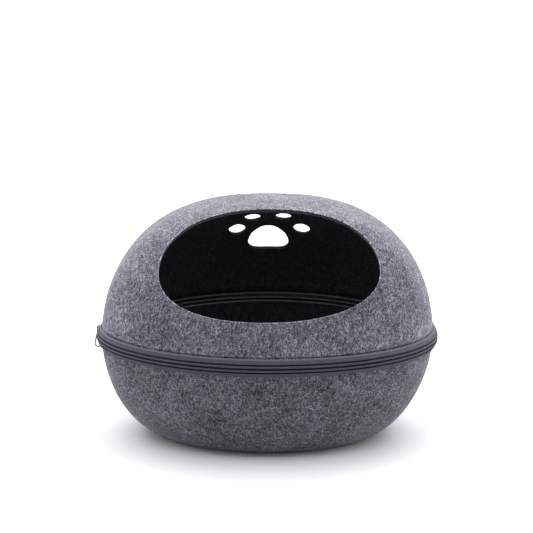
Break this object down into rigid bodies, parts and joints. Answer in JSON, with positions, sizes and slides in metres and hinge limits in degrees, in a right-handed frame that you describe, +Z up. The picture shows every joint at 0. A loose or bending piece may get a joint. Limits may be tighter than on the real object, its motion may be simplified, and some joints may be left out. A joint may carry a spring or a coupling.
{
  "type": "felt cat cave",
  "caption": "Egg-shaped felt cat cave: a moulded dome with an oval front mouth and paw-shaped rear vents, zipped all round to a moulded bowl.",
  "frame": {"origin": "on the surface that the cave stands on, under the middle of the felt's width and of its depth at the zip", "axes": "+Z up, -Y out of the mouth towards the front, +X to the right as seen from the front"},
  "size_m": [0.4719, 0.3634, 0.323],
  "materials": {
    "felt_dome": "matte marled felt",
    "felt_bowl": "matte marled felt",
    "lining": "matte black felt",
    "zip_tape": "woven tape with a slight sheen",
    "zip_coil": "satin",
    "zip_metal": "dark satin"
  },
  "bodies": {
    "root": {"felt_top": "felt_dome", "felt_base": "felt_bowl", "lining_top": "lining", "lining_base": "lining", "zip_tape_top": "zip_tape", "zip_tape_base": "zip_tape", "zip_coil_top": "zip_coil", "zip_coil_base": "zip_coil", "zip_slider": "zip_metal", "zip_pull": "zip_metal"}
  },
  "joints": []
}
